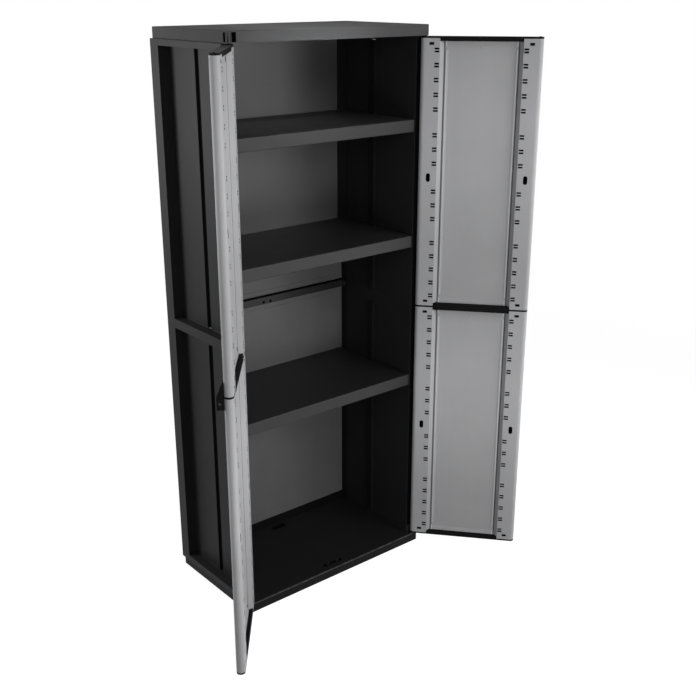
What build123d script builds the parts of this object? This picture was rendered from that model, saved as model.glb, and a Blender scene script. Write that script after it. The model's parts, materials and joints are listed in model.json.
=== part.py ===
from build123d import *
import os
from math import atan, cos, degrees, radians, sin

# A tall free-standing plastic cabinet with two doors, shown with both doors open.
# Sizes are in mm. The front faces -Y, +Z is up, and the origin is under the middle of the base.

# Cabinet as a whole
cabinet_width = 680.0    # over the outer faces of the side panels
cabinet_depth = 375.0    # from the closed doors' outer face to the rear
cabinet_height = 1635.0
wall = 3.0               # thickness of the moulded walls
fit_gap = 0.4            # play round a plug or an edge in its socket

# Top cap and base
end_inset = 5.0          # the cap and the base stand in from the outer faces
cap_height = 30.0
base_height = 27.0
end_corner = 4.0         # corner radius seen from above
edge_round = 2.0         # rounding of the outer edge of the cap and the base
plug_height = 24.0       # plugs that reach into the hollow posts
base_rib_spacing = 165.0
floor_ramp = 20.0        # height and depth of the sloped rear edge of the floor
floor_catch_length = 70.0
floor_catch_width = 14.0
floor_catch_setback = 12.0   # from the closed doors' inner face to the middle of the catch
floor_catch_depth = 5.0
catch_bump_length = 10.0
catch_bump_width = 5.0
catch_bump_height = 3.0
rear_pocket_length = 50.0
rear_pocket_width = 26.0
rear_pocket_setback = 36.0   # from the back panel to the middle of the pocket
rear_pocket_depth = 5.0

# Openings in the left front corner of the top cap
window_sill = 3.5        # above the cap's lower edge
window_height = 23.0
side_window = 10.0       # width of the opening in the left face
side_window_corner = 8.7     # from the front face of the cap to the opening
front_window = 22.0      # width of the opening in the front face
front_window_corner = 3.2    # from the left face of the cap to the opening
corner_wall_setback = 35.0   # from the left face of the cap to the wall that closes the corner
corner_wall_length = 31.0

# Side panels
side_recess = 30.0       # the field lies this far behind the posts' outer faces
post_width = 42.0
post_round = 2.0
end_rail = 17.0          # rail next to the base or the top cap
joint_rail = 13.5        # rail next to the joint between lower and upper panel
groove_width = 20.0
groove_depth = 8.0
groove_offset = 9.0      # the upright groove lies off the middle of the panel
groove_stop = 20.0       # in the lower panels the groove ends this far below the field's top
ledge_depth = 8.0
ledge_width = 24.0
ledge_height = 6.0
ledge_spread = 115.0     # from the middle of the panel to each shelf ledge
corner_rib_width = 16.0  # slanted rib in the rear corner, across the back panel
corner_rib_length = 25.0     # and along the side panel

# Back panels and the strip that joins them
back_setback = 12.5      # from the rear of the cabinet to the back panels' front face
back_thickness = 3.5
back_tongue = 8.0        # how far the edges reach into the posts
back_in_cap = 20.0       # how far the upper panel reaches up into the cap
border_inset = 16.0
border_width = 3.0
border_depth = 1.0
strip_height = 25.0
strip_depth = 10.0
strip_web = 3.0
strip_tab = 12.0         # small blocks at the strip's ends
strip_tab_width = 6.0
fixing_radius = 3.5      # two holes for screws into a wall
fixing_spacing = 26.0
fixing_drop = 6.0        # below the middle of the strip

# Shelves
upper_shelf_top = 1374.0
middle_shelf_top = 1032.5
lower_shelf_top = 588.5
shelf_lip = 36.0
shelf_skirt = 20.0
shelf_side_play = 1.5
shelf_front_play = 1.5
shelf_back_play = 1.0
shelf_rib_spacing = 150.0
shelf_round = 2.5

# Doors
door_thickness = 24.0
door_gap = 2.0           # behind a closed door
door_mid_gap = 2.0       # between the closed doors
door_floor_gap = 2.0
door_top_gap = 1.5
left_door_angle = 128.75 # how far each door stands open
right_door_angle = 130.4
rail_width = 54.0
rail_wall = 2.5
rail_nose = 9.0          # solid part of each rounded edge
door_recess = 16.0       # depth of the sunk field
recess_run = 12.0        # horizontal run of the field's sloped walls
end_ramp_length = 14.0   # shallow ramps at both ends of the field
end_ramp_rise = 4.6
ridge_inset = 2.5        # from the foot of the sloped walls to the ridge along them
ridge_width = 9.0
ridge_crest = 2.5        # from the ridge's steep side to its crest
ridge_height = 2.0
ridge_end = 32.0         # from the panel's end
outer_recess = 5.0
outer_margin = 62.0      # from the door's edges to the sunk panel on the outer face
outer_run = 5.0

# Openings in the rails
slot_length = 13.6
slot_height = 4.8
slot_pair = 7.8          # between the two slots of a pair
slot_pitch = 40.75       # between pairs
slot_end_inset = 32.0    # from the panel's end to the last pair
slot_inner_count = 3
slot_outer_count = 5
slot_edge = 8.1          # from the rail's inner edge to the slots' middle
end_hole_length = 13.4
end_hole_height = 7.6
end_hole_inset = 14.5    # from the panel's end
end_hole_edge = 23.1
mid_hole_length = 25.0
mid_hole_width = 12.0
mid_hole_edge = 24.5

# Door end caps, connectors and hinge pins
cap_flange = 5.0
joint_flange = 5.5
cap_plug = 18.0          # plugs that reach into the rails
notch_height = 8.0       # notch between the rails at each panel end, filled by the cap
notch_depth = 20.0
notch_setback = 1.0
pin_radius = 4.0
pin_clearance = 0.05     # running clearance all round the pin
pin_length = 16.0        # part of the pin inside its socket
pin_end_gap = 3.0
socket_wall = 2.6
collar_radius = 8.0
collar_gap = 0.3
nub_radius = 3.0
nub_height = 1.3
nub_inset = 10.0         # from the door's free edge
foot_length = 14.0
foot_width = 12.0
foot_gap = 0.5           # between the foot and the base

# Padlock hasps on the outer faces
hasp_thickness = 4.0
hasp_inset = 7.0         # from the door's free edge to the middle of the plate
hasp_reach = 18.0        # how far the plate stands out
hasp_low = 32.5          # the plate reaches this far below the middle of the door joint
hasp_high = 2.0          # and its square part this far above
hasp_gusset = 36.0       # extra height of the tapered part
hasp_flange_width = 26.0
hasp_flange = 3.0
eye_radius = 4.0
eye_out = 10.5           # from the door's face to the eye
eye_drop = 17.0          # the eye below the middle of the door joint
peg_radius = 3.0
peg_play = 0.2
peg_drop = 20.0          # pegs above and below the middle of the door joint
peg_inset = 22.0         # from the door's free edge

# Places that follow from the sizes above
half_width = cabinet_width / 2
front_y = -cabinet_depth / 2
rear_y = cabinet_depth / 2
carcass_front = front_y + door_thickness + door_gap
side_depth = rear_y - carcass_front
side_middle_y = (rear_y + carcass_front) / 2
side_thickness = side_recess + wall
inner_x = half_width - side_thickness
cavity = side_recess - wall
end_width = cabinet_width - 2 * end_inset
end_depth = cabinet_depth - 2 * end_inset
floor_z = base_height
roof_z = cabinet_height - cap_height
side_height = (roof_z - floor_z) / 2
joint_z = floor_z + side_height
back_y = rear_y - back_setback
back_half = inner_x + back_tongue
plug_inner = inner_x + wall + fit_gap
plug_outer = end_width / 2 - edge_round
plug_spans = (
    (carcass_front + wall + fit_gap, carcass_front + post_width - wall - fit_gap),
    (rear_y - post_width + wall + fit_gap, back_y - fit_gap),
)
shelf_half = inner_x - shelf_side_play
shelf_front = carcass_front + shelf_front_play
shelf_back = back_y - shelf_back_play
shelf_depth = shelf_back - shelf_front
shelf_tops = (upper_shelf_top, middle_shelf_top, lower_shelf_top)
hinge_x = half_width - door_thickness / 2
hinge_y = front_y + door_thickness / 2
socket_radius = pin_radius + pin_clearance + socket_wall
door_reach = hinge_x - door_mid_gap / 2
door_width = door_reach + door_thickness / 2
door_middle = door_width / 2 - door_thickness / 2
door_bottom = floor_z + door_floor_gap
door_top = roof_z - door_top_gap
panel_length = (door_top - door_bottom - 2 * cap_flange - joint_flange) / 2
lower_panel_z = door_bottom + cap_flange
upper_panel_z = lower_panel_z + panel_length + joint_flange
door_joint_z = lower_panel_z + panel_length + joint_flange / 2
recess_width = door_width - 2 * rail_width
rail_cavity = rail_width - rail_nose - wall
rail_cavity_height = door_thickness - 2 * rail_wall
# distance from the door's middle to the middle of each rail's hollow
rail_offset = door_width / 2 - rail_nose - rail_cavity / 2
rail_edge = recess_width / 2
LEFT = 1
RIGHT = -1

os.makedirs("parts", exist_ok=True)


def save(builder, name):
    builder.part.label = name
    export_step(builder.part, f"parts/{name}.step")


def front_plane(y, z):
    """Upright plane facing the front, its x axis pointing right."""
    return Plane(origin=(0, y, z), x_dir=(1, 0, 0), z_dir=(0, -1, 0))


def side_plane(side, z):
    """Level plane at the middle of a side panel, its x axis pointing outward."""
    return Plane(origin=(0, side_middle_y, z), x_dir=(-side, 0, 0), z_dir=(0, 0, 1))


def door_angle(side):
    return radians(left_door_angle if side == LEFT else right_door_angle)


def door_along(side):
    """Direction from the hinge to the door's free edge."""
    return Vector(side * cos(door_angle(side)), -sin(door_angle(side)), 0)


def door_inward(side):
    """Direction out of the door's inner face."""
    return Vector(side * sin(door_angle(side)), cos(door_angle(side)), 0)


def door_point(side, along, inward, z):
    """Point given from the door's middle, along the door and toward its inner face."""
    axis = Vector(-side * hinge_x, hinge_y, z)
    return axis + door_along(side) * (door_middle + along) + door_inward(side) * inward


def door_plane(side, z):
    """Level plane at the door's middle, its x axis pointing to the free edge."""
    return Plane(origin=door_point(side, 0, 0, z), x_dir=door_along(side), z_dir=(0, 0, 1))


def face_plane(side, inward, z):
    """Upright plane along the door, facing the way the inner face does."""
    return Plane(origin=door_point(side, 0, inward, z), x_dir=door_along(side), z_dir=door_inward(side))


def across_plane(side, along, z):
    """Upright plane across the door, its x axis pointing out of the outer face and y up."""
    outward = door_inward(side) * -1
    origin = door_point(side, along, -door_thickness / 2, z)
    return Plane(origin=origin, x_dir=outward, z_dir=outward.cross(Vector(0, 0, 1)))


def plug_outlines(side):
    """Outlines of the plugs that fit the front and rear post of one side."""
    for low, high in plug_spans:
        with Locations((-side * (plug_inner + plug_outer) / 2, (low + high) / 2)):
            Rectangle(plug_outer - plug_inner, high - low)


# Base
with BuildPart() as base:
    with BuildSketch():
        RectangleRounded(end_width, end_depth, end_corner)
    extrude(amount=base_height)
    fillet(base.faces().sort_by(Axis.Z)[-1].edges(), edge_round)
    with BuildSketch():
        Rectangle(end_width - 2 * wall, end_depth - 2 * wall)
    extrude(amount=base_height - wall, mode=Mode.SUBTRACT)
    # crossed ribs under the floor carry it on the ground
    with BuildSketch():
        Rectangle(end_width - wall, wall)
        with GridLocations(base_rib_spacing, end_depth, 3, 1):
            Rectangle(wall, end_depth - wall)
    extrude(amount=base_height - wall / 2)
    with BuildSketch():
        with GridLocations(2 * hinge_x, 1, 2, 1), Locations((0, hinge_y)):
            Circle(socket_radius)
    extrude(amount=base_height - wall / 2)
    with BuildSketch(Plane.XY.offset(floor_z)):
        with GridLocations(2 * hinge_x, 1, 2, 1), Locations((0, hinge_y)):
            Circle(pin_radius + pin_clearance)
    extrude(amount=-pin_length - pin_end_gap, mode=Mode.SUBTRACT)
    with BuildSketch(Plane.XY.offset(floor_z - wall / 2)):
        plug_outlines(LEFT)
        plug_outlines(RIGHT)
    extrude(amount=plug_height + wall / 2)
    ramp_back = back_y - fit_gap
    with BuildSketch(Plane.YZ):
        with BuildLine():
            Polyline(
                (ramp_back, floor_z - wall / 2),
                (ramp_back, floor_z + floor_ramp),
                (ramp_back - floor_ramp, floor_z),
                (ramp_back - floor_ramp, floor_z - wall / 2),
                close=True,
            )
        make_face()
    extrude(amount=inner_x - fit_gap, both=True)
    # sunk catch behind the doors and a sunk pocket at the rear
    catch_y = carcass_front - door_gap + floor_catch_setback
    pocket_y = back_y - rear_pocket_setback
    with BuildSketch(Plane.XY.offset(floor_z - wall / 2)):
        with Locations((0, catch_y)):
            Rectangle(floor_catch_length + 2 * wall, floor_catch_width + 2 * wall)
    extrude(amount=-floor_catch_depth - wall / 2)
    with BuildSketch(Plane.XY.offset(floor_z - wall / 2)):
        with Locations((0, pocket_y)):
            Rectangle(rear_pocket_length + 2 * wall, rear_pocket_width + 2 * wall)
    extrude(amount=-rear_pocket_depth - wall / 2)
    with BuildSketch(Plane.XY.offset(floor_z)):
        with Locations((0, catch_y)):
            Rectangle(floor_catch_length, floor_catch_width)
    extrude(amount=-floor_catch_depth, mode=Mode.SUBTRACT)
    with BuildSketch(Plane.XY.offset(floor_z)):
        with Locations((0, pocket_y)):
            RectangleRounded(rear_pocket_length, rear_pocket_width, end_corner)
    extrude(amount=-rear_pocket_depth, mode=Mode.SUBTRACT)
    with BuildSketch(Plane.XY.offset(floor_z - floor_catch_depth)):
        with Locations((0, catch_y)), GridLocations(floor_catch_length / 2, 1, 2, 1):
            Rectangle(catch_bump_length, catch_bump_width)
    extrude(amount=floor_catch_depth + catch_bump_height)
save(base, "base")

# Top cap
with BuildPart() as top_cap:
    with BuildSketch(Plane.XY.offset(roof_z)):
        RectangleRounded(end_width, end_depth, end_corner)
    extrude(amount=cap_height)
    fillet(top_cap.faces().sort_by(Axis.Z)[-1].edges(), edge_round)
    with BuildSketch(Plane.XY.offset(roof_z)):
        Rectangle(end_width - 2 * wall, end_depth - 2 * wall)
    extrude(amount=cap_height - wall, mode=Mode.SUBTRACT)
    # openings beside the left front corner
    with BuildSketch(Plane.XY.offset(roof_z + window_sill)):
        with Locations((-end_width / 2, -end_depth / 2 + side_window_corner + side_window / 2)):
            Rectangle(2 * wall, side_window)
        with Locations((-end_width / 2 + front_window_corner + front_window / 2, -end_depth / 2)):
            Rectangle(front_window, 2 * wall)
    extrude(amount=window_height, mode=Mode.SUBTRACT)
    with BuildSketch(Plane.XY.offset(roof_z)):
        with Locations((-end_width / 2 + corner_wall_setback, -end_depth / 2 + (wall + corner_wall_length) / 2)):
            Rectangle(wall, corner_wall_length)
        with GridLocations(2 * hinge_x, 1, 2, 1), Locations((0, hinge_y)):
            Circle(socket_radius)
    extrude(amount=cap_height - wall / 2)
    with BuildSketch(Plane.XY.offset(roof_z)):
        with GridLocations(2 * hinge_x, 1, 2, 1), Locations((0, hinge_y)):
            Circle(pin_radius + pin_clearance)
    extrude(amount=pin_length + pin_end_gap, mode=Mode.SUBTRACT)
    with BuildSketch(Plane.XY.offset(roof_z - plug_height)):
        plug_outlines(LEFT)
        plug_outlines(RIGHT)
    extrude(amount=plug_height + cap_height - wall / 2)
save(top_cap, "top_cap")


def side_panel(side, level):
    """One side panel: hollow posts and rails round a sunk field with an upright groove."""
    bottom = floor_z if level == "lower" else joint_z
    bottom_rail = end_rail if level == "lower" else joint_rail
    top_rail = joint_rail if level == "lower" else end_rail
    end_plate = wall if level == "lower" else 0
    field_bottom = bottom + bottom_rail
    field_height = side_height - bottom_rail - top_rail
    groove_height = field_height - (groove_stop if level == "lower" else 0)
    field_width = side_depth - 2 * post_width
    cavity_x = inner_x + wall + cavity / 2
    to_rear = -side
    with BuildPart() as panel:
        with BuildSketch(side_plane(side, bottom)):
            with Locations((inner_x + side_thickness / 2, 0)):
                Rectangle(side_thickness, side_depth)
        extrude(amount=side_height)
        outer_edges = panel.edges().filter_by(Axis.Z).sort_by(lambda edge: abs(edge.center().X))[-2:]
        fillet(outer_edges, post_round)
        with BuildSketch(side_plane(side, field_bottom)):
            with Locations((half_width - side_recess / 2, 0)):
                Rectangle(side_recess, field_width)
        extrude(amount=field_height, mode=Mode.SUBTRACT)
        # hollows of the posts and of the rails between them
        with BuildSketch(side_plane(side, bottom)):
            with Locations((cavity_x, 0)), GridLocations(1, side_depth - post_width, 1, 2):
                Rectangle(cavity, post_width - 2 * wall)
        extrude(amount=side_height - end_plate, mode=Mode.SUBTRACT)
        with BuildSketch(side_plane(side, bottom)):
            with Locations((cavity_x, 0)):
                Rectangle(cavity, field_width + 2 * wall)
        extrude(amount=bottom_rail - wall, mode=Mode.SUBTRACT)
        with BuildSketch(side_plane(side, bottom + side_height - top_rail + wall)):
            with Locations((cavity_x, 0)):
                Rectangle(cavity, field_width + 2 * wall)
        extrude(amount=top_rail - wall - end_plate, mode=Mode.SUBTRACT)
        # groove pressed into the field, standing out as a rib inside
        with BuildSketch(side_plane(side, field_bottom)):
            with Locations((inner_x - groove_depth / 2, groove_offset)):
                Rectangle(groove_depth, groove_width + 2 * wall)
        extrude(amount=groove_height)
        with BuildSketch(side_plane(side, field_bottom)):
            with Locations((inner_x + wall - groove_depth / 2, groove_offset)):
                Rectangle(groove_depth, groove_width)
        extrude(amount=groove_height - wall if level == "lower" else groove_height, mode=Mode.SUBTRACT)
        # ledges under the shelves
        for shelf_top in shelf_tops:
            ledge_z = shelf_top - shelf_skirt - ledge_height
            if bottom < ledge_z < bottom + side_height - ledge_height:
                with BuildSketch(side_plane(side, ledge_z)):
                    with Locations((inner_x - ledge_depth / 2, 0)), GridLocations(1, 2 * ledge_spread, 1, 2):
                        Rectangle(ledge_depth, ledge_width)
                extrude(amount=ledge_height)
        if level == "upper":
            # upright rib in the rear corner, from the middle shelf up
            rib_bottom = middle_shelf_top + fit_gap
            rib_back = to_rear * (back_y - fit_gap - side_middle_y)
            rib_front = rib_back - to_rear * corner_rib_length
            with BuildSketch(side_plane(side, rib_bottom)):
                with BuildLine():
                    Polyline(
                        (inner_x + wall / 2, rib_back),
                        (inner_x - corner_rib_width, rib_back),
                        (inner_x, rib_front),
                        (inner_x + wall / 2, rib_front),
                        close=True,
                    )
                make_face()
            extrude(amount=roof_z - rib_bottom)
        # slot that holds the edge of the back panels
        slot_y = to_rear * (back_y + back_thickness / 2 - side_middle_y)
        with BuildSketch(side_plane(side, bottom)):
            with Locations((inner_x + (back_tongue + fit_gap) / 2, slot_y)):
                Rectangle(back_tongue + fit_gap, back_thickness + 2 * fit_gap)
        extrude(amount=side_height, mode=Mode.SUBTRACT)
        if level == "lower":
            with BuildSketch(Plane.XY.offset(joint_z - wall)):
                plug_outlines(side)
            extrude(amount=wall + plug_height)
    return panel


for side, side_name in ((LEFT, "left"), (RIGHT, "right")):
    for level in ("lower", "upper"):
        save(side_panel(side, level), f"{side_name}_side_{level}_panel")


def back_panel(bottom, top, border_bottom, border_top, holed):
    """Flat sheet with a faint sunk border, held by its upright edges."""
    with BuildPart() as panel:
        with BuildSketch(Plane.XY.offset(bottom)):
            with Locations((0, back_y + back_thickness / 2)):
                Rectangle(2 * back_half, back_thickness)
        extrude(amount=top - bottom)
        border_height = border_top - border_bottom - 2 * border_inset
        border_across = 2 * (inner_x - border_inset)
        with BuildSketch(front_plane(back_y, (border_bottom + border_top) / 2)):
            Rectangle(border_across, border_height)
            Rectangle(border_across - 2 * border_width, border_height - 2 * border_width, mode=Mode.SUBTRACT)
        extrude(amount=-border_depth, mode=Mode.SUBTRACT)
        if holed:
            with BuildSketch(front_plane(back_y, joint_z - fixing_drop)):
                with GridLocations(fixing_spacing, 1, 2, 1):
                    Circle(fixing_radius + fit_gap)
            extrude(amount=-back_thickness, mode=Mode.SUBTRACT)
    return panel


strip_low = joint_z - strip_height / 2
strip_high = joint_z + strip_height / 2
lower_back = back_panel(floor_z, joint_z - strip_web / 2, floor_z + floor_ramp, strip_low, True)
save(lower_back, "back_lower_panel")
upper_back = back_panel(joint_z + strip_web / 2, roof_z + back_in_cap, strip_high, roof_z, False)
save(upper_back, "back_upper_panel")

# Strip between the back panels: a front bar, a rear flange and a web between the sheets
with BuildPart() as back_joining_strip:
    strip_half = inner_x - fit_gap
    bar_back = back_y - fit_gap / 2
    flange_front = back_y + back_thickness + fit_gap / 2
    with BuildSketch(Plane.XY.offset(strip_low)):
        with Locations((0, bar_back - strip_depth / 2), (0, flange_front + wall / 2)):
            Rectangle(2 * strip_half, wall)
        with Locations((0, bar_back - strip_depth / 2)):
            Rectangle(2 * strip_half, strip_depth)
    extrude(amount=strip_height)
    with BuildSketch(Plane.XY.offset(joint_z - strip_web / 2)):
        with Locations((0, (bar_back + flange_front) / 2)):
            Rectangle(2 * strip_half, flange_front - bar_back)
    extrude(amount=strip_web)
    with BuildSketch(Plane.XY.offset(joint_z - strip_tab / 2)):
        with Locations((0, bar_back - strip_depth - strip_tab / 2)):
            with GridLocations(2 * strip_half - strip_tab_width, 1, 2, 1):
                Rectangle(strip_tab_width, strip_tab)
    extrude(amount=strip_tab)
    with BuildSketch(front_plane(bar_back - strip_depth, joint_z - fixing_drop)):
        with GridLocations(fixing_spacing, 1, 2, 1):
            Circle(fixing_radius)
    extrude(amount=-strip_depth - back_setback, mode=Mode.SUBTRACT)
save(back_joining_strip, "back_joining_strip")


def shelf(top, corner_notches):
    """Ribbed tray, open below, with a deep front lip and notches round the ribs of the walls."""
    middle_y = (shelf_front + shelf_back) / 2
    with BuildPart() as tray:
        with BuildSketch(Plane.XY.offset(top - shelf_lip)):
            with Locations((0, middle_y)):
                Rectangle(2 * shelf_half, shelf_depth)
        extrude(amount=shelf_lip)
        front_edges = tray.edges().filter_by(Axis.X).sort_by(Axis.Y)[:2]
        fillet(front_edges, shelf_round)
        with BuildSketch(Plane.XY.offset(top - shelf_lip)):
            with Locations((0, middle_y)):
                Rectangle(2 * (shelf_half - wall), shelf_depth - 2 * wall)
        extrude(amount=shelf_lip - wall, mode=Mode.SUBTRACT)
        with BuildSketch(Plane.XY.offset(top - shelf_lip)):
            with Locations((0, middle_y + wall)):
                Rectangle(2 * shelf_half, shelf_depth)
        extrude(amount=shelf_lip - shelf_skirt, mode=Mode.SUBTRACT)
        with BuildSketch(Plane.XY.offset(top - shelf_skirt)):
            with Locations((0, middle_y)), GridLocations(shelf_rib_spacing, 1, 3, 1):
                Rectangle(wall, shelf_depth - wall)
        extrude(amount=shelf_skirt - wall / 2)
        with BuildSketch(Plane.XY.offset(top - shelf_lip)):
            for side in (LEFT, RIGHT):
                with Locations((-side * inner_x, side_middle_y - side * groove_offset)):
                    Rectangle(2 * (groove_depth + shelf_side_play), groove_width + 2 * wall + 2 * shelf_side_play)
                if corner_notches:
                    with Locations((-side * inner_x, shelf_back)):
                        Rectangle(
                            2 * (corner_rib_width + shelf_side_play),
                            2 * (corner_rib_length + shelf_side_play),
                        )
        extrude(amount=shelf_lip, mode=Mode.SUBTRACT)
    return tray


save(shelf(upper_shelf_top, True), "upper_shelf")
save(shelf(middle_shelf_top, False), "middle_shelf")
save(shelf(lower_shelf_top, False), "lower_shelf")


def slot_heights():
    """Heights of all slots of one rail, measured from the panel's middle."""
    pairs = [slot_pitch * (step + 1) for step in range(slot_inner_count)]
    pairs += [panel_length / 2 - slot_end_inset - slot_pitch * step for step in range(slot_outer_count)]
    return [way * pair + half * slot_pair / 2 for pair in pairs for way in (-1, 1) for half in (-1, 1)]


def door_panel(side, bottom):
    """One of the two equal panels of a door: two hollow rails and a sunk field between them."""
    middle_z = bottom + panel_length / 2
    with BuildPart() as panel:
        with BuildSketch(door_plane(side, bottom)):
            SlotOverall(door_width, door_thickness)
        extrude(amount=panel_length)
        with BuildSketch(door_plane(side, bottom)):
            with GridLocations(2 * rail_offset, 1, 2, 1):
                Rectangle(rail_cavity, rail_cavity_height)
        extrude(amount=panel_length, mode=Mode.SUBTRACT)
        # sunk field between sloped walls, with a ramp at each end
        foot = rail_edge - recess_run
        field_y = door_thickness / 2 - door_recess
        with BuildSketch(door_plane(side, bottom + notch_height)):
            with BuildLine():
                Polyline(
                    (-rail_edge, side * door_thickness / 2),
                    (-foot, side * field_y),
                    (foot, side * field_y),
                    (rail_edge, side * door_thickness / 2),
                    close=True,
                )
            make_face()
        extrude(amount=panel_length - 2 * notch_height, mode=Mode.SUBTRACT)
        field_x = -door_thickness + door_recess
        field_end = panel_length / 2 - notch_height
        for way in (-1, 1):
            with BuildSketch(across_plane(side, 0, middle_z)):
                with BuildLine():
                    Polyline(
                        (field_x + wall / 2, way * (field_end - end_ramp_length)),
                        (field_x, way * (field_end - end_ramp_length)),
                        (field_x - end_ramp_rise, way * field_end),
                        (field_x + wall / 2, way * field_end),
                        close=True,
                    )
                make_face()
            extrude(amount=foot + recess_run * end_ramp_rise / door_recess, both=True)
        with BuildSketch(face_plane(side, door_thickness / 2, middle_z)):
            with GridLocations(1, panel_length - notch_height, 1, 2):
                Rectangle(recess_width, notch_height)
        extrude(amount=-notch_depth, mode=Mode.SUBTRACT)
        # ridges along the foot of the sloped walls, steep on the side of the wall
        ridge_at = foot - ridge_inset
        for way in (-1, 1):
            with BuildSketch(door_plane(side, bottom + ridge_end)):
                with BuildLine():
                    Polyline(
                        (way * ridge_at, side * (field_y - ridge_height / 4)),
                        (way * ridge_at, side * field_y),
                        (way * (ridge_at - ridge_crest), side * (field_y + ridge_height)),
                        (way * (ridge_at - ridge_width), side * field_y),
                        (way * (ridge_at - ridge_width), side * (field_y - ridge_height / 4)),
                        close=True,
                    )
                make_face()
            extrude(amount=panel_length - 2 * ridge_end)
        # sunk panel on the outer face
        with BuildSketch(face_plane(side, -door_thickness / 2, middle_z)):
            Rectangle(door_width - 2 * outer_margin, panel_length - 2 * outer_margin)
        outer_slope = degrees(atan(outer_run / outer_recess))
        extrude(amount=outer_recess, taper=outer_slope, mode=Mode.SUBTRACT)
        # slots and holes through the inner face of the rails
        slot_x = rail_edge + slot_edge
        end_hole_x = rail_edge + end_hole_edge
        mid_hole_x = rail_edge + mid_hole_edge
        with BuildSketch(face_plane(side, door_thickness / 2, middle_z)):
            with Locations([(way * slot_x, height) for way in (-1, 1) for height in slot_heights()]):
                Rectangle(slot_length, slot_height)
            with GridLocations(2 * end_hole_x, panel_length - 2 * end_hole_inset, 2, 2):
                Rectangle(end_hole_length, end_hole_height)
            with GridLocations(2 * mid_hole_x, 1, 2, 1):
                SlotOverall(mid_hole_length, mid_hole_width, rotation=90)
        extrude(amount=-rail_wall - fit_gap, mode=Mode.SUBTRACT)
        # hole for a peg of the hasp
        with BuildSketch(face_plane(side, -door_thickness / 2, door_joint_z)):
            with Locations((door_width / 2 - peg_inset, 0)), GridLocations(1, 2 * peg_drop, 1, 2):
                Circle(peg_radius + peg_play)
        extrude(amount=rail_wall, mode=Mode.SUBTRACT)
    return panel


def door_cap(side, kind):
    """End cap or connector: a plate shaped like the door's end, with plugs and bars for the notches."""
    plate = joint_flange if kind == "connector" else cap_flange
    ways = {"top_cap": (-1,), "connector": (-1, 1), "bottom_cap": (1,)}[kind]
    plate_z = {
        "top_cap": door_top - cap_flange,
        "connector": door_joint_z - joint_flange / 2,
        "bottom_cap": door_bottom,
    }[kind]
    bar_width = notch_depth - notch_setback - fit_gap
    bar_y = side * (door_thickness / 2 - notch_setback - bar_width / 2)
    with BuildPart() as cap:
        with BuildSketch(door_plane(side, plate_z)):
            SlotOverall(door_width, door_thickness)
        extrude(amount=plate)
        for way in ways:
            with BuildSketch(door_plane(side, plate_z + plate / 2)):
                with GridLocations(2 * rail_offset, 1, 2, 1):
                    Rectangle(rail_cavity - 2 * fit_gap, rail_cavity_height - 2 * fit_gap)
            extrude(amount=way * (plate / 2 + cap_plug))
            with BuildSketch(door_plane(side, plate_z + plate / 2)):
                with Locations((0, bar_y)):
                    Rectangle(recess_width - 2 * fit_gap, bar_width)
            extrude(amount=way * (plate / 2 + notch_height - fit_gap / 2))
        if kind == "top_cap":
            # hinge pin, and a small nub near the free edge
            with BuildSketch(door_plane(side, plate_z)):
                with Locations((-door_middle, 0)):
                    Circle(pin_radius)
            extrude(amount=plate + door_top_gap + pin_length)
            with BuildSketch(door_plane(side, plate_z)):
                with Locations((door_width / 2 - nub_inset, 0)):
                    Circle(nub_radius)
            extrude(amount=plate + nub_height)
        if kind == "bottom_cap":
            # collar and hinge pin, and a foot near the free edge
            with BuildSketch(door_plane(side, plate_z + plate)):
                with Locations((-door_middle, 0)):
                    Circle(collar_radius)
            extrude(amount=-plate - door_floor_gap + collar_gap)
            with BuildSketch(door_plane(side, plate_z + plate)):
                with Locations((-door_middle, 0)):
                    Circle(pin_radius)
            extrude(amount=-plate - door_floor_gap - pin_length)
            with BuildSketch(door_plane(side, plate_z + plate)):
                with Locations((door_width / 2 - foot_length / 2 - rail_wall, 0)):
                    Rectangle(foot_length, foot_width)
            extrude(amount=-plate - door_floor_gap + foot_gap)
    return cap


for side, side_name in ((LEFT, "left"), (RIGHT, "right")):
    save(door_panel(side, lower_panel_z), f"{side_name}_door_lower_panel")
    save(door_panel(side, upper_panel_z), f"{side_name}_door_upper_panel")
    for kind in ("top_cap", "connector", "bottom_cap"):
        save(door_cap(side, kind), f"{side_name}_door_{kind}")

    with BuildPart() as hasp:
        plate_at = door_width / 2 - hasp_inset
        flange_low = door_joint_z - hasp_low
        flange_high = door_joint_z + hasp_high + hasp_gusset
        flange_middle = plate_at + hasp_thickness / 2 - hasp_flange_width / 2
        with BuildSketch(face_plane(side, -door_thickness / 2, (flange_low + flange_high) / 2)):
            with Locations((flange_middle, 0)):
                Rectangle(hasp_flange_width, flange_high - flange_low)
        extrude(amount=-hasp_flange)
        with BuildSketch(across_plane(side, plate_at, door_joint_z)):
            with BuildLine():
                Polyline(
                    (0, -hasp_low),
                    (hasp_reach, -hasp_low),
                    (hasp_reach, hasp_high),
                    (hasp_flange, hasp_high + hasp_gusset),
                    (0, hasp_high + hasp_gusset),
                    close=True,
                )
            make_face()
            with Locations((eye_out, -eye_drop)):
                Circle(eye_radius, mode=Mode.SUBTRACT)
        extrude(amount=hasp_thickness / 2, both=True)
        with BuildSketch(face_plane(side, -door_thickness / 2 - hasp_flange, door_joint_z)):
            with Locations((door_width / 2 - peg_inset, 0)), GridLocations(1, 2 * peg_drop, 1, 2):
                Circle(peg_radius)
        extrude(amount=hasp_flange + rail_wall)
    save(hasp, f"{side_name}_door_hasp")
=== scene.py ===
import functools
import json
import math

import bpy
from mathutils import Matrix, Vector


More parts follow.
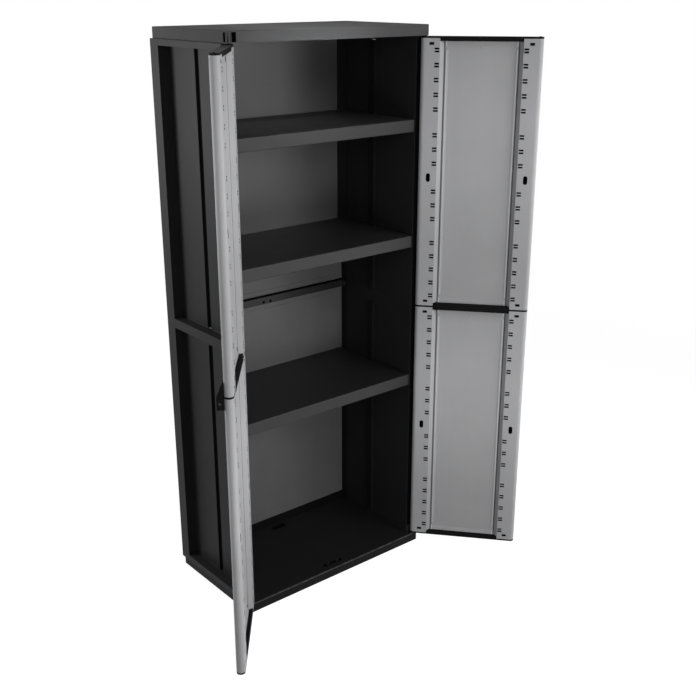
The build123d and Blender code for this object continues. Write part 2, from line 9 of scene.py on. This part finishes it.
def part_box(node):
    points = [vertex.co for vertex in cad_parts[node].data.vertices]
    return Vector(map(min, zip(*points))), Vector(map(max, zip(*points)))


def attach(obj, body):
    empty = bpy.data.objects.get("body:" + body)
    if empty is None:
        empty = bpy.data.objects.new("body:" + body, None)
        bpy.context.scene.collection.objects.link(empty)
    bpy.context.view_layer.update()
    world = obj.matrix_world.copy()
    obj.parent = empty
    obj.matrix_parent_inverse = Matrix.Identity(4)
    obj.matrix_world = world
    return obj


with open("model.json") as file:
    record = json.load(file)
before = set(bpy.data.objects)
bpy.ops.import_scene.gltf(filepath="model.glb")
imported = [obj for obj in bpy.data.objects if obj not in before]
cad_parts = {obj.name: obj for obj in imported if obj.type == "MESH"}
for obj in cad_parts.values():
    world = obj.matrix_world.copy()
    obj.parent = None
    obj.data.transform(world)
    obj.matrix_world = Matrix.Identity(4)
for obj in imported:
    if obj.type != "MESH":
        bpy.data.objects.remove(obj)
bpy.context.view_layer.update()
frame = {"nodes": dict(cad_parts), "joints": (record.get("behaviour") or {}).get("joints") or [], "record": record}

# Sizes in metres, in the frame of the cabinet: +Z up, front toward -Y.
HAIR = 0.0002               # what tells a face from the one behind it
SKIN = 0.0008               # the same where an edge is rounded
INNER_WALL = 0.307          # inner face of the side panels
FLOOR_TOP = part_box("left_side_lower_panel")[0].z        # the side panels stand on the floor
MIDDLE_SHELF_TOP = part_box("middle_shelf")[1].z
UP = Vector((0, 0, 1))

# A door. Places across it are counted from its middle line, depths from the middle of its thickness.
DOOR_HINGES = {joint["child"]: joint for joint in frame["joints"]}
DOOR_MIDDLE = 0.1575        # from the hinge axis to the middle line
DOOR_FOOT, DOOR_PANEL = 0.029, 0.7873       # the lower end of a door and the height of one of its panels
DOOR_FIELD = -0.004         # the sunk field
FIELD_FOOT = 0.1035         # the foot of the field's sloped walls
FIELD_GROOVE = (FIELD_FOOT - HAIR, 0.00128, 0.0016)     # the groove there, where painted shade lies: middle, half width, fade
FIELD_GROOVE_PAINTED_SHADE = 0.72
RIDGE_CREST_HIGHLIGHT = (0.0988, 0.00096, 0.0012)     # the crests of the ridges along it, with a painted highlight, in the same order
RAIL_HOLLOW = (0.1175, 0.1605)
RAIL_HOLLOW_HALF = 0.0097   # half the depth of the hollow
RAIL_SLOTS = (0.1163, 0.1463)       # the reach of the rails' openings
RAIL_FACE = 0.012
OUTER_PANEL = -0.006        # everything behind this belongs to the outer face
GATE_HEIGHTS = (0.0585, 0.78825, 0.84425, 1.574)        # moulding marks on the middle line
GATE_RADIUS, GATE_RISE = 0.0035, 0.0007

# The carcass.
BASE_FRONT, BASE_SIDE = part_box("base")[0].y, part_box("base")[1].x        # the outer faces of the base
BASE_SKIN = 0.0012
BASE_RIM, BASE_RIM_HEIGHT = 0.0042, 0.0024      # the upper rim of the base, with a painted highlight
FLOOR_POCKETS = (0.2, 0.166)        # the pockets of the floor lie within this in x and y
FLOOR_SLOPE = 0.15          # the slope at the floor's rear edge starts behind this
FLOOR_PAINTED_SHADE = 0.85
POST_FRONT = -0.1575        # the front faces of the side posts lie before this
POST_HEIGHTS = (0.05, 1.6)
CORNER_RIB = (0.288, 0.147)         # the ribs in the rear corners lie outside this in x and y
GROOVE_BACK = (0.29, 0.06)          # the backs of the side grooves stand out inside, within this in y
INSIDE_PAINTED_SHADE = 0.55
CAP_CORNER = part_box("top_cap")[0].xy        # the outer left front corner of the cap
CAP_CORNER_SIZE = 0.06
CAP_WINDOW = (1.6055, 1.6315)       # the openings in that corner, from and to this height
WALL_FIXING = next(mount for mount in frame["record"]["mounts"] if mount["name"] == "wall_fixing")
SCREW_HOLE_OFF = WALL_FIXING["dims"]["spacing_x_mm"] / 2000     # left and right of the middle
SCREW_HOLE_HEIGHT = WALL_FIXING["pos_m"][2]
# the radius of the painted shade around each screw hole
SCREW_HOLE_SHADE = 0.0042
STRIP_LINE = 0.8255         # a painted shadow gap along the top of the back strip starts here
FLOOR_MARKS = ((0.273, 0.097), (0.249, -0.005))     # moulding marks on the floor: x and y
SHELF_MARK = (-0.0855, 0.0044)      # on the middle shelf: x and y
WALL_MARKS = ((-0.118, 0.936), (-0.136, 0.599))     # on the right wall: y and z
MARK_RADIUS, MARK_RISE = 0.0025, 0.0006

# Colours of painted shade and of the painted highlight on the base's rim, and white.
PAINTED_SHADE_DARK = (0.002, 0.002, 0.002, 1.0)
PAINTED_SHADE_BLACK = (0.004, 0.004, 0.004, 1.0)
RIM_HIGHLIGHT = (0.075, 0.075, 0.076, 1.0)
WHITE = (1.0, 1.0, 1.0, 1.0)


class Value:
    """A node's socket; the operators on it add Math nodes."""

    def __init__(self, tree, socket):
        self.tree = tree
        self.socket = socket

    def out(self, name):
        return Value(self.tree, self.socket.node.outputs[name])

    def math(self, operation, first, second):
        return self.tree.add("ShaderNodeMath", {"operation": operation}, {0: first, 1: second})

    def __add__(self, other):
        return self.math("ADD", self, other)

    def __sub__(self, other):
        return self.math("SUBTRACT", self, other)

    def __rsub__(self, other):
        return self.math("SUBTRACT", other, self)

    def __mul__(self, other):
        return self.math("MULTIPLY", self, other)

    def __truediv__(self, other):
        return self.math("DIVIDE", self, other)

    def __pow__(self, other):
        return self.math("POWER", self, other)

    __radd__ = __add__
    __rmul__ = __mul__

    def size(self):
        return self.math("ABSOLUTE", self, 0.0)

    def fraction(self):
        return self.math("FRACT", self, 0.0)

    def above(self, limit):
        return self.math("GREATER_THAN", self, limit)

    def below(self, limit):
        return self.math("LESS_THAN", self, limit)

    def within(self, low, high):
        return self.above(low) * self.below(high)

    def clamp(self):
        return self.tree.add("ShaderNodeClamp", {}, {"Value": self, "Min": 0.0, "Max": 1.0})

    def band(self, middle, half, fade):
        """1 as far as half from the middle, then down to 0 over the fade."""
        return (1.0 + half / fade - (self - middle).size() / fade).clamp()


class Tree:
    """A node tree that is filled by expressions."""

    def __init__(self, tree):
        self.tree = tree
        tree.nodes.clear()

    def add(self, kind, settings, sockets):
        """Adds a node and gives its first output. Settings are set first; sockets are named or counted."""
        node = self.tree.nodes.new(kind)
        for name, setting in settings.items():
            setattr(node, name, setting)
        for key, given in sockets.items():
            if isinstance(key, int):
                socket = node.inputs[key]
            else:
                socket = next(s for s in node.inputs if key == s.identifier or (s.enabled and key == s.name))
            if isinstance(given, Value):
                self.tree.links.new(given.socket, socket)
            else:
                socket.default_value = given
        return Value(self, next((s for s in node.outputs if s.enabled), None))

    def vector(self, operation, first, second):
        return self.add("ShaderNodeVectorMath", {"operation": operation}, {0: first, 1: second})

    def dot(self, first, second):
        return self.vector("DOT_PRODUCT", first, second).out("Value")

    def length(self, vector):
        return self.add("ShaderNodeVectorMath", {"operation": "LENGTH"}, {0: vector}).out("Value")

    def mix(self, factor, first, second):
        return self.add("ShaderNodeMix", {"data_type": "RGBA"},
                        {"Factor_Float": factor, "A_Color": first, "B_Color": second})

    def noise(self, place, scale, detail, rough=0.5):
        return self.add("ShaderNodeTexNoise", {},
                        {"Vector": place, "Scale": scale, "Detail": detail, "Roughness": rough})

    def split(self, place):
        parts = self.add("ShaderNodeSeparateXYZ", {}, {0: place})
        return [parts.out(axis) for axis in "XYZ"]

    def object_place(self):
        return self.add("ShaderNodeTexCoord", {}, {}).out("Object")


def new_material(name):
    material = bpy.data.materials.new(name)
    material.use_nodes = True
    return material, Tree(material.node_tree)


def door_axes(body):
    """A door's hinge foot, the way along the door and the way its inner face looks."""
    x, y, _ = DOOR_HINGES[body]["pos_m"]
    closed, _ = DOOR_HINGES[body]["range_deg"]
    turn = math.radians(-closed)
    side = -math.copysign(1, x)
    along = Vector((side * math.cos(turn), -math.sin(turn), 0))
    facing = Vector((side * math.sin(turn), math.cos(turn), 0))
    return Vector((x, y, 0)), along, facing


def on_door(t, place, body):
    """How far a point lies from the upright middle line of a door, and toward its inner face."""
    foot, along, facing = door_axes(body)
    from_hinge = t.vector("SUBTRACT", place, foot)
    return (t.dot(from_hinge, along) - DOOR_MIDDLE).size(), t.dot(from_hinge, facing)


def door_painted_shade(t, place, body):
    """Painted shade, 1 inside the hollow rails of a door, less in the groove along its sunk field, 0 on its faces.
    """
    off_middle, depth = on_door(t, place, body)
    hollow = off_middle.within(*RAIL_HOLLOW) * depth.size().below(RAIL_HOLLOW_HALF)
    reveal = off_middle.within(*RAIL_SLOTS) * depth.within(RAIL_HOLLOW_HALF - HAIR, RAIL_FACE - HAIR)
    groove = off_middle.band(*FIELD_GROOVE) * depth.above(OUTER_PANEL)
    return (hollow + reveal + groove * FIELD_GROOVE_PAINTED_SHADE).clamp()


def door_painted_light(t, place, surface, body):
    """Painted light: panels a little lighter above their middle, and a painted highlight on the field's ridge
    crests.
    """
    lightest, reach, least, gain, crest_highlight_gain = 0.66, 0.5, 0.93, 0.21, 0.5
    up = ((t.split(place)[2] - DOOR_FOOT) / DOOR_PANEL).fraction()
    # a pool of painted light in each panel
    light_pool = (1.0 - ((up - lightest) / reach) ** 2.0).clamp() ** 2.0
    off_middle, depth = on_door(t, place, body)
    crest_highlight = off_middle.band(*RIDGE_CREST_HIGHLIGHT) * depth.size().below(-DOOR_FIELD - HAIR)
    tone = (least + light_pool * gain) * (1.0 + crest_highlight * crest_highlight_gain)
    return t.add("ShaderNodeVectorMath", {"operation": "SCALE"}, {0: surface, "Scale": tone})


def base_painted_shade_and_highlight(t, place, surface):
    """Painted shade darkens the base's outer skin, and a painted highlight lies on its upper outer edge here and
    there.
    """
    skin_shade, contrast, cut = 0.7, 2.0, 0.3
    x, y, z = t.split(place)

    def outside(depth):
        return (y.below(BASE_FRONT + depth) + x.size().above(BASE_SIDE - depth)).clamp()

    rim_highlight = (t.noise(place, scale=60.0, detail=3.0, rough=0.7) * contrast - cut).clamp()
    shaded_skin = t.mix(outside(BASE_SKIN) * skin_shade, surface, PAINTED_SHADE_DARK)
    return t.mix(outside(BASE_RIM) * z.above(FLOOR_TOP - BASE_RIM_HEIGHT) * rim_highlight, shaded_skin, RIM_HIGHLIGHT)


def carcass_painted_shade(t, place, surface):
    """Painted shade: the ribs in the rear corners and the backs of the grooves inside are painted darker."""
    x, y, _ = t.split(place)
    rib = x.size().within(CORNER_RIB[0], INNER_WALL + SKIN) * y.above(CORNER_RIB[1])
    groove_back = x.size().within(GROOVE_BACK[0], INNER_WALL - HAIR) * y.size().below(GROOVE_BACK[1])
    return t.mix((rib + groove_back).clamp() * INSIDE_PAINTED_SHADE, surface, PAINTED_SHADE_DARK)


def post_front_painted_shade(t, place):
    """Painted shade, 1 on the front faces of the side posts, which the closed doors cover."""
    x, y, z = t.split(place)
    return x.size().above(INNER_WALL + SKIN) * y.below(POST_FRONT) * z.within(*POST_HEIGHTS)


def floor_painted_shade(t, place):
    """Painted shade in the pockets of the floor and on the slope at its rear edge."""
    x, y, z = t.split(place)
    pocket = x.size().below(FLOOR_POCKETS[0]) * y.size().below(FLOOR_POCKETS[1]) * z.below(FLOOR_TOP - HAIR)
    slope = x.size().below(INNER_WALL) * y.above(FLOOR_SLOPE) * z.above(FLOOR_TOP + HAIR)
    return ((pocket + slope) * FLOOR_PAINTED_SHADE).clamp()


def cap_window_painted_shade(t, place):
    """Painted shade, 1 inside the openings at the cap's left front corner."""
    x, y, z = t.split(place)
    across, behind = [axis.within(corner + SKIN, corner + CAP_CORNER_SIZE)
                      for axis, corner in zip((x, y), CAP_CORNER)]
    return across * behind * z.within(*CAP_WINDOW)


def screw_hole_painted_shade(t, place):
    """Painted shade, 1 in and behind the two screw holes of the back strip."""
    x, _, z = t.split(place)
    off = t.add("ShaderNodeCombineXYZ", {}, {"X": x.size() - SCREW_HOLE_OFF, "Z": z - SCREW_HOLE_HEIGHT})
    return t.length(off).below(SCREW_HOLE_SHADE)


def strip_painted_shade(t, place):
    """Painted shade, 1 along a painted shadow gap at the top of the back strip and in its screw holes."""
    return (t.split(place)[2].above(STRIP_LINE) + screw_hole_painted_shade(t, place)).clamp()


# What all the resins share: how the noises are weighed, how far they show, and the painted highlight on their
# edges.
BLUE_TRACE = 1.02
MOTTLE_SHARE, FLOW_SHARE, SPECK_SHARE = 0.6, 0.25, 0.15
FLOW_SCALE = (26.0, 26.0, 2.2)      # drawn out upright
TONE_SWING, ROUGHNESS_SWING = 2.0, 0.16
GRAIN_DEPTH, GRAIN_FINE, GRAIN_SPECK = 0.0002, 0.7, 0.3
EDGE_SHARP, EDGE_ABOVE, EDGE_POLISH = 4.0, 2.0, 0.05
# how much lighter the painted edge highlight is
HIGHLIGHT_GAIN, HIGHLIGHT_LIFT = 1.5, 0.10


def moulded_resin(name, greys, roughness, specular, grain, edge_radius, edge_gain, shade=None, tone=None):
    """Moulded plastic with a fine matt grain, faint mottling and flow, and a painted highlight on edges that look
    up.

    Its colour runs between two greys with a trace of blue. tone paints light and shade into it, and shade blends
    to black as painted shade.
    """
    deep, light = [(grey, grey, grey * BLUE_TRACE) for grey in greys]
    highlight_colour = [min(1.0, c * HIGHLIGHT_GAIN + HIGHLIGHT_LIFT) for c in light]
    material, t = new_material(name)
    place = t.object_place()
    mottle = t.noise(place, scale=9.0, detail=3.0, rough=0.55)
    flow = t.noise(t.vector("MULTIPLY", place, FLOW_SCALE), scale=1.0, detail=2.0)
    fine = t.noise(place, scale=1400.0, detail=1.0)
    speck = t.noise(place, scale=310.0, detail=2.0, rough=0.6)
    uneven = mottle * MOTTLE_SHARE + flow * FLOW_SHARE + speck * SPECK_SHARE - 0.5
    soft = t.add("ShaderNodeBevel", {"samples": 4}, {"Radius": edge_radius})
    turned = 1.0 - t.dot(soft, t.add("ShaderNodeNewGeometry", {}, {}).out("Normal"))
    # where the painted highlight goes: rounded edges that look up
    edge = (turned * EDGE_SHARP).clamp() * (t.split(soft)[2] * EDGE_ABOVE).clamp()
    surface = t.mix((0.5 + uneven * TONE_SWING).clamp(), (*deep, 1.0), (*light, 1.0))
    if tone:
        surface = tone(t, place, surface)
    edge_highlight = t.mix(edge * edge_gain * (0.5 + mottle), surface, (*highlight_colour, 1.0))
    bump = t.add("ShaderNodeBump", {}, {"Strength": grain, "Distance": GRAIN_DEPTH, "Normal": soft,
                                        "Height": fine * GRAIN_FINE + speck * GRAIN_SPECK})
    shader = t.add("ShaderNodeBsdfPrincipled", {},
                   {"Base Color": edge_highlight, "Specular IOR Level": specular, "Normal": bump,
                    "Roughness": roughness + uneven * ROUGHNESS_SWING - edge * EDGE_POLISH})
    if shade:
        # the black that the shade masks blend in: painted shade
        black = t.add("ShaderNodeBsdfDiffuse", {}, {"Color": PAINTED_SHADE_BLACK})
        shader = t.add("ShaderNodeMixShader", {}, {0: shade(t, place), 1: shader, 2: black})
    t.add("ShaderNodeOutputMaterial", {}, {"Surface": shader})
    return material


# Finishes: greys, roughness, specular, grain, edge radius, edge gain of the painted edge highlight.
carcass_resin = moulded_resin("carcass_resin", (0.0158, 0.0215), 0.50, 0.07, 0.10, 0.0012, 0.5,
                              post_front_painted_shade, carcass_painted_shade)
# The base's greys are darker than the carcass's: painted shade near the floor.
base_resin = moulded_resin("base_resin", (0.0095, 0.0130), 0.50, 0.065, 0.10, 0.0012, 0.2,
                           floor_painted_shade, base_painted_shade_and_highlight)
strip_resin = moulded_resin("strip_resin", (0.010, 0.014), 0.40, 0.30, 0.10, 0.0008, 0.3, strip_painted_shade)
cap_resin = moulded_resin("cap_resin", (0.062, 0.077), 0.60, 0.015, 0.08, 0.0010, 0.2, cap_window_painted_shade)
shelf_resin = moulded_resin("shelf_resin", (0.0105, 0.0140), 0.46, 0.32, 0.08, 0.0010, 0.5)
# The back sheets' greys are several times lighter than the carcass's: painted light on the back wall.
back_sheet_resin = moulded_resin("back_sheet_resin", (0.092, 0.118), 0.40, 0.36, 0.06, 0.0010, 0.2,
                                 screw_hole_painted_shade)
fitting_resin = moulded_resin("fitting_resin", (0.003, 0.005), 0.6, 0.05, 0.08, 0.0006, 0.12)
# The doors: painted shade in their hollows and groove, painted light on their panels and ridge crests.
DOOR_FINISHES = {body: moulded_resin(body + "_resin", (0.360, 0.400), 0.46, 0.05, 0.08, 0.0007, 0.05,
                                     functools.partial(door_painted_shade, body=body),
                                     functools.partial(door_painted_light, body=body))
                 for body in DOOR_HINGES}
SLOT_FINISHES = {"dark_resin": carcass_resin, "black_resin": fitting_resin}
NODE_FINISHES = {
    "base": base_resin,
    "top_cap": cap_resin,
    "back_joining_strip": strip_resin,
    "back_lower_panel": back_sheet_resin,
    "back_upper_panel": back_sheet_resin,
    "lower_shelf": shelf_resin,
    "middle_shelf": shelf_resin,
    "upper_shelf": shelf_resin,
}


def finish_of(body, slot):
    return DOOR_FINISHES[body] if slot == "pale_resin" else SLOT_FINISHES[slot]


BODY_OF = {node: body for body, nodes in frame["record"]["behaviour"]["bodies"].items() for node in nodes}
for part in frame["record"]["subparts"]:
    node = part["node"]
    mesh = frame["nodes"][node].data
    mesh.materials.clear()
    mesh.materials.append(NODE_FINISHES.get(node) or finish_of(BODY_OF[node], part["material_slot"]))


def mark_tree(material):
    """Small round moulding marks, one on each point, standing along the point's facing."""
    group = bpy.data.node_groups.new("moulding_marks", "GeometryNodeTree")
    face = group.interface
    face.new_socket("Points", in_out="INPUT", socket_type="NodeSocketGeometry")
    sizes = {}
    for name, value in (("Radius", 0.003), ("Height", 0.0006), ("Taper", 0.7)):
        socket = face.new_socket(name, in_out="INPUT", socket_type="NodeSocketFloat")
        socket.default_value = value
        sizes[name] = socket.identifier
    face.new_socket("Marks", in_out="OUTPUT", socket_type="NodeSocketGeometry")
    t = Tree(group)
    given = t.add("NodeGroupInput", {}, {})
    radius = given.out("Radius")
    cone = t.add("GeometryNodeMeshCone", {}, {"Vertices": 20, "Radius Top": radius * given.out("Taper"),
                                              "Radius Bottom": radius, "Depth": given.out("Height")})
    points = t.add("GeometryNodeMeshToPoints", {}, {"Mesh": given.out("Points")})
    facing = t.add("GeometryNodeInputNamedAttribute", {"data_type": "FLOAT_VECTOR"}, {"Name": "facing"})
    turn = t.add("FunctionNodeAlignRotationToVector", {"axis": "Z"}, {"Vector": facing})
    spread = t.add("GeometryNodeInstanceOnPoints", {},
                   {"Points": points, "Instance": cone, "Rotation": turn})
    real = t.add("GeometryNodeRealizeInstances", {}, {"Geometry": spread})
    marks = t.add("GeometryNodeSetMaterial", {}, {"Geometry": real, "Material": material})
    t.add("NodeGroupOutput", {}, {"Marks": marks})
    return group, sizes


def moulding_marks(name, body, slot, places, radius, height):
    """One mesh of marks for one body. places are (point, facing) pairs."""
    mesh = bpy.data.meshes.new(name)
    mesh.from_pydata([point for point, _ in places], [], [])
    attribute = mesh.attributes.new("facing", "FLOAT_VECTOR", "POINT")
    for item, (_, facing) in zip(attribute.data, places):
        item.vector = facing
    seed = bpy.data.objects.new(name + "_points", mesh)
    bpy.context.scene.collection.objects.link(seed)
    group, sizes = mark_tree(finish_of(body, slot))
    modifier = seed.modifiers.new("marks", "NODES")
    modifier.node_group = group
    modifier[sizes["Radius"]] = radius
    modifier[sizes["Height"]] = height
    made = bpy.data.meshes.new_from_object(seed.evaluated_get(bpy.context.evaluated_depsgraph_get()))
    made.name = name
    bpy.data.objects.remove(seed)
    piece = bpy.data.objects.new(name, made)
    bpy.context.scene.collection.objects.link(piece)
    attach(piece, body)


def gate_place(body, height):
    """A point on the middle line of a door's sunk field, and the way the field looks."""
    foot, along, facing = door_axes(body)
    return foot + UP * height + along * DOOR_MIDDLE + facing * DOOR_FIELD, facing


for body in DOOR_HINGES:
    moulding_marks(body + "_gate_marks", body, "pale_resin",
                   [gate_place(body, height) for height in GATE_HEIGHTS], GATE_RADIUS, GATE_RISE)

FROM_RIGHT_WALL = Vector((-1, 0, 0))
cabinet_marks = [(Vector((x, y, FLOOR_TOP)), UP) for x, y in FLOOR_MARKS]
cabinet_marks.append((Vector((*SHELF_MARK, MIDDLE_SHELF_TOP)), UP))
cabinet_marks += [(Vector((INNER_WALL, y, z)), FROM_RIGHT_WALL) for y, z in WALL_MARKS]
moulding_marks("cabinet_moulding_marks", "cabinet", "dark_resin", cabinet_marks, MARK_RADIUS, MARK_RISE)


def eye_or_gloss(t):
    """1 for what the camera sees, also in gloss, 0 for the light that bounces."""
    path = t.add("ShaderNodeLightPath", {}, {})
    return (path.out("Is Camera Ray") + path.out("Is Glossy Ray") + path.out("Is Transmission Ray")).clamp()


# Pale floor: it carries the cabinet's soft shadow and fades to plain white away from it.
STUDIO_HALF, STUDIO_LEVEL = 30.0, -0.0005
FADE_FROM, FADE_TO = 1.2, 3.0
STUDIO_GLOW, STUDIO_GREY, STUDIO_BOUNCE = 0.90, 0.24, 0.30
floor_finish, t = new_material("studio_floor")
seen = eye_or_gloss(t)
fade = ((t.length(t.object_place()) - FADE_FROM) / (FADE_TO - FADE_FROM)).clamp()
grey = seen * (STUDIO_GREY * (1.0 - fade)) + (1.0 - seen) * STUDIO_BOUNCE
colour = t.add("ShaderNodeCombineColor", {}, {0: grey, 1: grey, 2: grey})
shadow = t.add("ShaderNodeBsdfDiffuse", {}, {"Color": colour})
glow = t.add("ShaderNodeEmission", {}, {"Color": WHITE,
                                        "Strength": seen * (STUDIO_GLOW + (1.0 - STUDIO_GLOW) * fade)})
t.add("ShaderNodeOutputMaterial", {}, {"Surface": t.add("ShaderNodeAddShader", {}, {0: shadow, 1: glow})})
floor_mesh = bpy.data.meshes.new("studio_floor")
floor_mesh.from_pydata([(x * STUDIO_HALF, y * STUDIO_HALF, STUDIO_LEVEL)
                        for x, y in ((-1, -1), (1, -1), (1, 1), (-1, 1))], [], [(0, 1, 2, 3)])
floor_mesh.materials.append(floor_finish)
floor = bpy.data.objects.new("studio_floor", floor_mesh)
bpy.context.scene.collection.objects.link(floor)

AMBIENT = 0.08
world = bpy.data.worlds.new("studio")
world.use_nodes = True
bpy.context.scene.world = world
t = Tree(world.node_tree)
around = t.add("ShaderNodeBackground", {}, {"Color": WHITE,
                                            "Strength": eye_or_gloss(t) * (1.0 - AMBIENT) + AMBIENT})
t.add("ShaderNodeOutputWorld", {}, {"Surface": around})

# Soft boxes: name, place, aim, width, height, power in watts, spread of the beam in degrees.
LAMPS = [
    ("key", (0.64, -2.37, 2.72), (0.0, 0.0, 1.0), 1.4, 1.4, 24.0, 180.0),
    ("upper_right", (0.98, -1.62, 1.55), (0.0, 0.0, 1.55), 0.5, 0.5, 6.0, 180.0),
    ("upper_left", (-1.221, -1.455, 1.85), (0.0, 0.0, 1.85), 0.6, 0.6, 6.0, 180.0),
    ("low_front", (0.0, -1.75, 0.5), (0.0, 0.0, 0.5), 0.6, 0.6, 7.5, 180.0),
    ("low_right", (1.344, -1.344, 0.5), (0.0, 0.0, 0.5), 0.6, 0.6, 4.0, 180.0),
    ("right", (2.2, -0.9, 0.9), (-0.3, -0.3, 0.9), 0.8, 1.4, 20.0, 180.0),
    ("low_left", (-0.9, -1.65, 0.55), (0.0, 0.0, 0.55), 0.6, 0.6, 4.0, 180.0),
    ("left_rear", (-1.556, 1.09, 1.35), (0.0, 0.0, 1.35), 0.6, 0.7, 28.0, 180.0),
    ("rear", (0.9, 3.0, 0.85), (0.0, 0.0, 0.85), 1.4, 1.4, 18.0, 180.0),
    ("cap_pool", (-0.1, -1.95, 3.1), (-0.055, -0.18, 1.61), 0.15, 0.15, 0.5, 15.0),
]
for name, place, aim, width, height, power, spread in LAMPS:
    light = bpy.data.lights.new(name, "AREA")
    light.shape = "RECTANGLE"
    light.size = width
    light.size_y = height
    light.energy = power
    light.spread = math.radians(spread)
    lamp = bpy.data.objects.new(name, light)
    lamp.location = place
    lamp.visible_camera = False
    lamp.rotation_euler = (Vector(aim) - Vector(place)).to_track_quat("-Z", "Y").to_euler()
    bpy.context.scene.collection.objects.link(lamp)

# Camera at the photograph's place; the picture is square.
PICTURE, FOCAL = 696, 1009.71       # the picture's width and the focal length, in pixels
SENSOR = 36.0
CAMERA_PLACE = (-1.72193, -2.31336, 1.73977)
AZIMUTH, ELEVATION, ROLL = math.radians(-39.577), math.radians(19.817), math.radians(-0.038)
back = Vector((math.sin(AZIMUTH) * math.cos(ELEVATION), -math.cos(AZIMUTH) * math.cos(ELEVATION),
               math.sin(ELEVATION)))
right = Vector((math.cos(AZIMUTH), math.sin(AZIMUTH), 0))
up = back.cross(right)
turned_right = right * math.cos(ROLL) + up * math.sin(ROLL)
turned_up = up * math.cos(ROLL) - right * math.sin(ROLL)
lens = bpy.data.cameras.new("camera")
lens.sensor_width = SENSOR
lens.lens = SENSOR * FOCAL / PICTURE
lens.clip_end = 100.0
camera = bpy.data.objects.new("camera", lens)
camera.matrix_world = Matrix((turned_right, turned_up, back)).transposed().to_4x4()
camera.location = CAMERA_PLACE
bpy.context.scene.collection.objects.link(camera)
bpy.context.scene.camera = camera
bpy.context.scene.view_settings.view_transform = "Standard"
